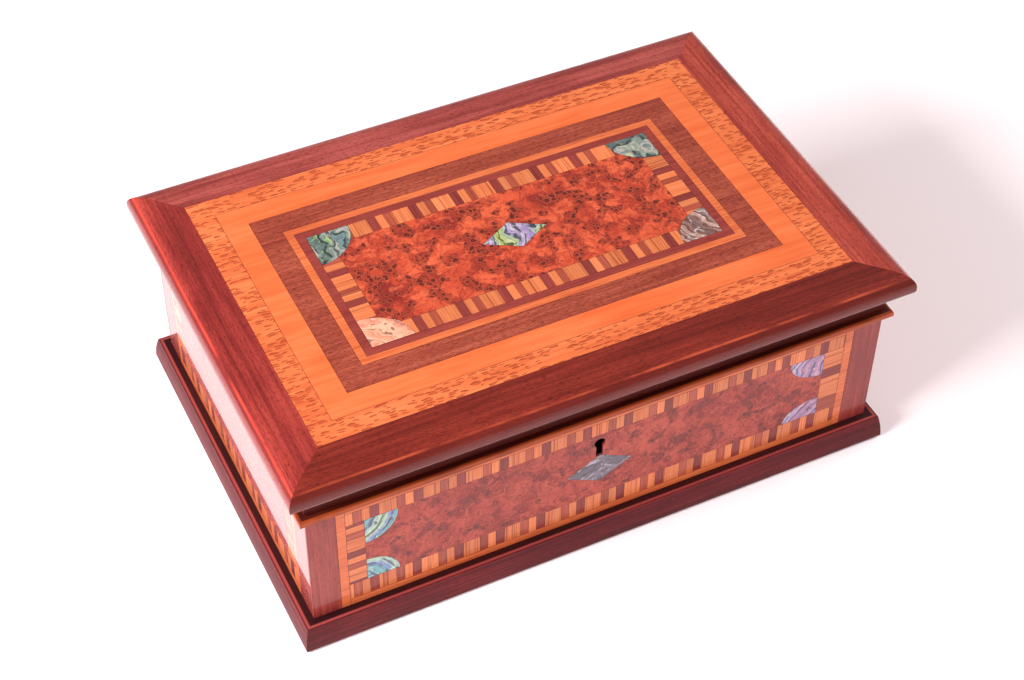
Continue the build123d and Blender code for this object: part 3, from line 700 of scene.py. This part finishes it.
def burl_eyes(tree, colour, at, patches, spacing, radius, colours):
    """Round eyes, each a dark ring about a redder heart, with a pale rim and a soft dark halo."""
    deep, ring, eye = colours
    cells = add(tree, "ShaderNodeTexVoronoi", {"Vector": at, "Scale": 1 / spacing, "Randomness": 0.9},
                voronoi_dimensions="2D")
    chance, pick = apart(tree, cells.outputs["Color"])[:2]
    size = calculate(tree, "MULTIPLY_ADD", chance, radius / spacing, 0.6 * radius / spacing)
    kept = calculate(tree, "MULTIPLY", patches, calculate(tree, "GREATER_THAN", pick, 0.2))
    near = calculate(tree, "DIVIDE", cells.outputs["Distance"], size)
    halo = calculate(tree, "MULTIPLY", smooth_step(tree, near, 0.8, 2.8, 0.9, 0.0), kept)
    pale = calculate(tree, "MULTIPLY", smooth_step(tree, near, 1.15, 1.6, 0.35, 0.0), kept)
    dark = calculate(tree, "MULTIPLY", smooth_step(tree, near, 0.75, 1.25, 0.85, 0.0), kept)
    heart = calculate(tree, "MULTIPLY", smooth_step(tree, near, 0.20, 0.65, 0.7, 0.0), kept)
    colour = tint(tree, halo, colour, deep)
    colour = tint(tree, pale, colour, ring)
    colour = tint(tree, dark, colour, eye)
    return tint(tree, heart, colour, deep), dark


def burl_wood(name, deep, red, orange, ring, eye, patch, strength, curl):
    """A burl leaf. The clusters of eyes are where a noise is over the patch values, as strong as
    the strength says, and curl is how much fine pale and dark curl the leaf has."""
    made, tree, shader = blank_material(name)
    x, y = apart(tree, laid_grain(tree))[:2]
    at = together(tree, x, y, 0.0)
    broad = coloured_noise(tree, at, 0.16, 3.0)
    fine = coloured_noise(tree, at, 0.9, 2.0)
    swirl = pushed(tree, at, broad, (11.0, 11.0, 0.0))
    ripple = pushed(tree, at, broad, (4.0, 4.0, 0.0))
    ripple = pushed(tree, ripple, fine, (1.3, 1.3, 0.0))
    clouds = noise(tree, swirl, 0.055, detail=3, roughness=0.5, distortion=0.8)
    colour = ramp(tree, clouds, (0.30, deep), (0.46, red), (0.66, orange))
    strokes = noise(tree, swirl, 0.10, detail=4, roughness=0.55, distortion=2.4)
    ridge = calculate(tree, "ABSOLUTE", calculate(tree, "SUBTRACT", strokes, 0.5))
    colour = tint(tree, smooth_step(tree, ridge, 0.0, 0.05, 0.7, 0.0), colour, deep)
    flames = noise(tree, swirl, 0.13, detail=2, roughness=0.5, distortion=2.6)
    colour = tint(tree, smooth_step(tree, flames, 0.54, 0.66, 0.0, 0.45), colour, ring)
    curls = noise(tree, swirl, 0.42, detail=3, roughness=0.6, distortion=2.0)
    colour = tint(tree, smooth_step(tree, curls, 0.54, 0.64, 0.0, curl), colour, ring)
    colour = tint(tree, smooth_step(tree, curls, 0.36, 0.45, curl + 0.1, 0.0), colour, deep)
    spread = noise(tree, at, 0.12, detail=1.0)
    patches = smooth_step(tree, spread, patch[0], patch[1], 0.0, strength)
    glow = smooth_step(tree, spread, patch[0] - 0.03, patch[1] + 0.03, 0.0, 0.4 * strength)
    colour = tint(tree, glow, colour, deep)
    for spacing, radius in EYE_SIZES:
        colour, eyes = burl_eyes(tree, colour, ripple, patches, spacing, radius, (deep, ring, eye))
    polish(tree, shader, (colour, calculate(tree, "SUBTRACT", clouds, eyes)))
    return made


lid_burl = burl_wood("lid_burl", paint(118, 32, 27), paint(178, 66, 42), paint(202, 88, 54),
                     paint(214, 106, 70), paint(48, 10, 12),
                     patch=(0.49, 0.55), strength=1.0, curl=0.12)
wall_burl = burl_wood("wall_burl", paint(100, 28, 26), paint(144, 50, 40), paint(166, 68, 53),
                      paint(184, 86, 66), paint(54, 13, 15),
                      patch=(0.56, 0.62), strength=0.8, curl=0.45)
inlay("lid_burl_panel", lid_burl, "lid")
inlay("front_burl_panel", wall_burl, "box")
inlay("side_burl_panels", glassier(wall_burl), "box")

# ---- Stiles, stringing and back veneer ----------------------------------------------------
# Upright maroon stiles close the corners, orange stringing runs beside them and along the top
# and bottom, and the back is one plain maroon leaf.
stile_wood, tree, shader = blank_material("stile_wood")
at = laid_grain(tree)
wood = straight_grain(tree, at, paint(108, 36, 33), paint(133, 50, 44), paint(154, 68, 57),
                      streak=(60, 1.6))
polish(tree, shader, open_pores(tree, at, wood, paint(92, 28, 26), 0.6))
inlay("front_stiles", stile_wood, "box")
inlay("side_stiles", glassier(stile_wood), "box")
inlay("front_stringing", stringing_wood, "box")
inlay("side_stringing", glassier(stringing_wood), "box")
inlay("back_veneer", stile_wood, "box")

# ---- Abalone shell ------------------------------------------------------------------------
# Quarter rounds at the corners of the banding and a diamond in the middle, ground flat from
# abalone. The growth lines follow the curve of each piece, dark between bands of pearl.


def shell_leaf(name, tints, growth, line_colour, wave=5.0, line_width=0.22, accent=None,
               shares=(0.85, 0.6)):
    """Polished shell with its colours in bands about a growth centre. Growth holds the centre's
    place, as millimetres from the origin along X and along Y or Z, whether it is Z, and the
    bands' spacing. Shares are the strength of the lines and of the bright flashes."""
    made, tree, shader = blank_material(name)
    centre, upright, spacing = growth
    x, y, z = apart(tree, place_mm(tree))
    across = calculate(tree, "SUBTRACT", x, centre[0])
    up = calculate(tree, "SUBTRACT", z if upright else y, centre[1])
    flat = together(tree, across, up, 0.0)
    bent = pushed(tree, flat, coloured_noise(tree, flat, 0.11, 2.0), (2.4 * wave,) * 3)
    away = length_of(tree, bent)
    pearl = noise(tree, bent, 0.16, detail=3, roughness=0.6, distortion=0.8)
    drift = calculate(tree, "MULTIPLY_ADD", away, 0.11, calculate(tree, "MULTIPLY", pearl, 0.9))
    drift = calculate(tree, "PINGPONG", drift, 1.0)
    stops = [((step + 0.5) / len(tints), colour) for step, colour in enumerate(tints)]
    colour = ramp(tree, drift, *stops)
    flash = noise(tree, bent, 0.30, detail=2, distortion=1.0)
    flash = smooth_step(tree, flash, 0.56, 0.66, 0.0, shares[1])
    colour = tint(tree, flash, colour, accent or paint(214, 208, 200))
    for finer, strength in ((1.0, shares[0]), (2.7, 0.5 * shares[0])):
        bands = calculate(tree, "DIVIDE", away, spacing / finer)
        phase = calculate(tree, "SUBTRACT", calculate(tree, "FRACT", bands), 0.5)
        off_line = calculate(tree, "ABSOLUTE", phase)
        line = smooth_step(tree, off_line, 0.4 * line_width, line_width, strength, 0.0)
        fade = smooth_step(tree, noise(tree, flat, 0.2 * finer, detail=2), 0.36, 0.52, 0.1, 1.0)
        colour = tint(tree, calculate(tree, "MULTIPLY", line, fade), colour, line_colour)
    blotch = smooth_step(tree, noise(tree, flat, 0.25, detail=2), 0.62, 0.70, 0.0, 0.8)
    colour = tint(tree, blotch, colour, line_colour)
    tree.links.new(colour, shader.inputs["Base Color"])
    shader.inputs["Roughness"].default_value = 0.3
    shader.inputs["Coat Weight"].default_value = 0.6
    shader.inputs["Coat Roughness"].default_value = 0.05
    return made


def shell_pieces(source, body, leaves):
    """Lets in the four shell pieces of a CAD node. A piece's leaf is under its place, which is
    whether it is on the right and whether it is the upper or the back one."""
    places = list(leaves)
    mesh = inlay(source, leaves[places[0]], body).data
    slots = {places[0]: 0}
    for place in places[1:]:
        slots[place] = len(mesh.materials)
        mesh.materials.append(leaves[place])
    low, high = corners_of(mesh.vertices)
    middle = (low + high) / 2
    upright = high.z - low.z > 2 * MM
    for face in mesh.polygons:
        if face.material_index == GLUE_SLOT:
            continue
        right = face.center.x > middle.x
        upper = (face.center.z > middle.z) if upright else (face.center.y > middle.y)
        face.material_index = slots[(right, upper)]


GREEN_GREY = (paint(88, 104, 100), paint(122, 138, 128), paint(160, 158, 150), paint(100, 122, 122))
PEACH = (paint(198, 122, 98), paint(222, 156, 126), paint(226, 172, 142), paint(206, 138, 108))
GREY_MAUVE = (paint(108, 84, 80), paint(150, 118, 110), paint(180, 146, 134), paint(138, 120, 118))
PEARL = (paint(160, 172, 96), paint(140, 160, 150), paint(150, 122, 172), paint(176, 166, 186))
SEA_BLUE = (paint(70, 130, 150), paint(84, 154, 150), paint(92, 112, 176), paint(150, 180, 150))
PINK = (paint(150, 108, 142), paint(190, 138, 158), paint(124, 116, 172), paint(172, 150, 170))
DULL = (paint(74, 64, 80), paint(98, 84, 98), paint(122, 106, 118), paint(84, 78, 98))
INK = paint(30, 34, 38)
UMBER = paint(92, 48, 34)
NAVY = paint(34, 40, 78)
LEFT, RIGHT = False, True
LOWER, UPPER = False, True
low, high = [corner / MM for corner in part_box("lid_shell_corners")]
lid_leaves = {
    (LEFT, UPPER): shell_leaf("shell_back_left", GREEN_GREY, ((low.x, high.y), False, 4.4), INK,
                              wave=6.0, accent=paint(146, 186, 84)),
    (LEFT, LOWER): shell_leaf("shell_front_left", PEACH, ((low.x, low.y), False, 7.5), UMBER,
                              wave=8.0, line_width=0.12, accent=paint(228, 188, 160), shares=(0.7, 0.5)),
    (RIGHT, UPPER): shell_leaf("shell_back_right", GREEN_GREY, ((high.x, high.y), False, 4.8), INK,
                               wave=7.0, accent=paint(200, 192, 140)),
    (RIGHT, LOWER): shell_leaf("shell_front_right", GREY_MAUVE, ((110.0, -10.0), False, 3.4), UMBER,
                               wave=4.0, line_width=0.25),
}
shell_pieces("lid_shell_corners", "lid", lid_leaves)

low, high = [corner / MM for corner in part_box("front_shell_corners")]
front_leaves = {
    (LEFT, UPPER): shell_leaf("shell_upper_left", SEA_BLUE, ((low.x - 10.0, high.z + 10.0), True, 4.2),
                              INK, wave=2.0, accent=paint(176, 200, 178)),
    (LEFT, LOWER): shell_leaf("shell_lower_left", SEA_BLUE, ((low.x - 6.0, low.z - 4.5), True, 4.2),
                              NAVY, wave=2.0, accent=paint(176, 206, 178)),
    (RIGHT, UPPER): shell_leaf("shell_upper_right", PINK, ((high.x + 10.1, high.z - 6.0), True, 3.8),
                               NAVY, wave=3.0, accent=paint(206, 172, 184)),
    (RIGHT, LOWER): shell_leaf("shell_lower_right", PINK, ((high.x + 6.1, low.z - 2.5), True, 3.8),
                               NAVY, wave=3.0, accent=paint(150, 184, 190)),
}
shell_pieces("front_shell_corners", "box", front_leaves)

lid_pearl = shell_leaf("shell_lid_diamond", PEARL, ((-32.0, 6.0), False, 4.4), INK, wave=5.0,
                       accent=paint(206, 204, 196))
inlay("lid_shell_diamond", lid_pearl, "lid")
dull_pearl = shell_leaf("shell_front_diamond", DULL, ((-6.0, 100.0), True, 3.4), INK, wave=4.0,
                        accent=paint(176, 174, 184))
inlay("front_shell_diamond", dull_pearl, "box")

# ---- Hinges and lock ----------------------------------------------------------------------
# Two brass butt hinges with steel pins, and a box lock: brass plates, bolt and link plate, with an iron
# case behind the keyhole and an iron stud for the key, both painted near black as painted shade inside the
# keyhole.


def metal(name, dark, middle, light, roughness, spot=0.35):
    """Plain metal, a little tarnished and lightly scratched along its length."""
    made, tree, shader = blank_material(name)
    at = place_mm(tree)
    tarnish = noise(tree, at, spot, detail=4, roughness=0.6)
    shade = ramp(tree, tarnish, (0.3, dark), (0.5, middle), (0.7, light))
    tree.links.new(shade, shader.inputs["Base Color"])
    scratches = noise(tree, stretched(tree, at, 30, 0.2), detail=2)
    rough = smooth_step(tree, tarnish, 0.3, 0.7, roughness[0], roughness[1])
    tree.links.new(rough, shader.inputs["Roughness"])
    inputs = {"Height": scratches, "Distance": 0.001 * MM, "Strength": 0.3}
    tree.links.new(add(tree, "ShaderNodeBump", inputs).outputs[0], shader.inputs["Normal"])
    shader.inputs["Metallic"].default_value = 1.0
    return made


brass = metal("brass", paint(186, 146, 78), paint(200, 160, 90), paint(210, 174, 106), (0.40, 0.32))
screw_brass = metal("screw_brass", paint(134, 98, 46), paint(154, 116, 58), paint(170, 134, 74),
                    (0.40, 0.32))
steel = metal("steel", paint(150, 150, 152), paint(172, 172, 174), paint(186, 186, 188), (0.35, 0.25))
# painted shade: the case and stud are painted near black for the shade inside the keyhole
iron = metal("iron_painted_keyhole_shade", paint(12, 10, 10), paint(18, 16, 16), paint(30, 27, 26), (0.75, 0.6))
dress(brass, "hinge_body_leaves", "hinge_lid_leaves", "lock_plate", "lock_bolt", "link_plate")
dress(steel, "hinge_pins")
dress(iron, "lock_case", "lock_pin")

# ---- Screws -------------------------------------------------------------------------------
# Brass countersunk screws, one pattern set wherever the hinges and the lock are screwed down.
# Each has its slot turned its own way, as it was driven.
SCREW_SIZES = {"Head Radius": 1.9 * MM, "Head Depth": 1.0 * MM, "Shank Radius": 0.9 * MM,
               "Length": 7.0 * MM, "Tip": 1.5 * MM, "Slot Width": 0.5 * MM, "Slot Depth": 0.45 * MM}
POINT_RADIUS = 0.15 * MM
ROUND_SIDES = 24


def screw_tree():
    """Slotted screws set on points, each facing the way that its point's attribute says."""
    tree = bpy.data.node_groups.new("slotted_screws", "GeometryNodeTree")
    sockets = tree.interface
    sockets.new_socket("Geometry", in_out="INPUT", socket_type="NodeSocketGeometry")
    for name in SCREW_SIZES:
        sockets.new_socket(name, in_out="INPUT", socket_type="NodeSocketFloat")
    sockets.new_socket("Metal", in_out="INPUT", socket_type="NodeSocketMaterial")
    sockets.new_socket("Seed", in_out="INPUT", socket_type="NodeSocketInt")
    sockets.new_socket("Geometry", in_out="OUTPUT", socket_type="NodeSocketGeometry")
    given = tree.nodes.new("NodeGroupInput").outputs

    def turned_part(low_radius, high_radius, depth, drop):
        """A round part of the screw, its low end so far below the face."""
        inputs = {"Vertices": ROUND_SIDES, "Radius Top": high_radius, "Radius Bottom": low_radius,
                  "Depth": depth}
        cone = add(tree, "GeometryNodeMeshCone", inputs)
        down = together(tree, 0.0, 0.0, calculate(tree, "MULTIPLY", drop, -1.0))
        return add(tree, "GeometryNodeTransform", {"Geometry": cone.outputs["Mesh"], "Translation": down})

    head_depth, length, tip = given["Head Depth"], given["Length"], given["Tip"]
    shank_foot = calculate(tree, "SUBTRACT", length, tip)
    shank = calculate(tree, "SUBTRACT", shank_foot, head_depth)
    head = turned_part(given["Shank Radius"], given["Head Radius"], head_depth, head_depth)
    body = turned_part(given["Shank Radius"], given["Shank Radius"], shank, shank_foot)
    point = turned_part(POINT_RADIUS, given["Shank Radius"], tip, length)
    wide = calculate(tree, "MULTIPLY", given["Head Radius"], 2.5)
    deep = calculate(tree, "MULTIPLY", given["Slot Depth"], 2.0)
    slot = add(tree, "GeometryNodeMeshCube", {"Size": together(tree, wide, given["Slot Width"], deep)})
    inputs = {"Mesh 1": head.outputs[0], "Mesh 2": slot.outputs["Mesh"]}
    cut = add(tree, "GeometryNodeMeshBoolean", inputs, operation="DIFFERENCE", solver="EXACT")
    whole = add(tree, "GeometryNodeJoinGeometry", {})
    for part in (cut, body, point):
        tree.links.new(part.outputs[0], whole.inputs[0])
    facing = add(tree, "GeometryNodeInputNamedAttribute", {"Name": "facing"}, data_type="FLOAT_VECTOR")
    upright = add(tree, "FunctionNodeAlignRotationToVector", {"Vector": facing.outputs[0]}, axis="Z")
    chance = add(tree, "FunctionNodeRandomValue", {"Seed": given["Seed"]}, data_type="FLOAT")
    angle = calculate(tree, "MULTIPLY", chance.outputs[1], math.pi)
    twist = add(tree, "FunctionNodeEulerToRotation", {0: together(tree, 0.0, 0.0, angle)})
    turn = add(tree, "FunctionNodeRotateRotation", {0: upright.outputs[0], 1: twist.outputs[0]},
               rotation_space="LOCAL")
    inputs = {"Points": given["Geometry"], "Instance": whole.outputs[0], "Rotation": turn.outputs[0]}
    placed = add(tree, "GeometryNodeInstanceOnPoints", inputs)
    real = add(tree, "GeometryNodeRealizeInstances", {"Geometry": placed.outputs[0]})
    coated = add(tree, "GeometryNodeSetMaterial", {"Geometry": real.outputs[0], "Material": given["Metal"]})
    output = tree.nodes.new("NodeGroupOutput")
    tree.links.new(coated.outputs[0], output.inputs[0])
    return tree


def off_axis(offset, axis):
    """How far an offset takes a point from a line along an axis."""
    return Vector([0.0 if number == axis else offset[number] for number in range(3)]).length


def screw_places(source):
    """The middle of each screw head's face in a CAD node, and the way that it faces."""
    drawn = joined(source)
    places = []
    for piece in list(islands(drawn)):
        low, high = corners_of(piece)
        axis = along_longest(low, high)
        middle = (low + high) / 2
        widest = max(piece, key=lambda vertex: off_axis(vertex.co - middle, axis))
        head_up = widest.co[axis] > middle[axis]
        middle[axis] = high[axis] if head_up else low[axis]
        facing = Vector()
        facing[axis] = 1.0 if head_up else -1.0
        places.append((middle, facing))
    drawn.free()
    return sorted(places, key=lambda place: tuple(place[0]))


SCREWS = screw_tree()
for source, body, seed in (("body_screws", "box", 4), ("lid_screws", "lid", 9)):
    places = screw_places(source)
    mesh = bpy.data.meshes.new(source + "_points")
    mesh.from_pydata([at for at, facing in places], [], [])
    way = mesh.attributes.new("facing", "FLOAT_VECTOR", "POINT")
    for number, (at, facing) in enumerate(places):
        way.data[number].vector = facing
    points = new_object(source + "_points", mesh)
    setter = points.modifiers.new("screws", "NODES")
    setter.node_group = SCREWS
    values = {**SCREW_SIZES, "Metal": screw_brass, "Seed": seed}
    for item in SCREWS.interface.items_tree:
        if item.in_out == "INPUT" and item.name in values:
            setter[item.identifier] = values[item.name]
    finished = plain_copy(points, source + "_slotted")
    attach(finished, body)
    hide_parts(source)
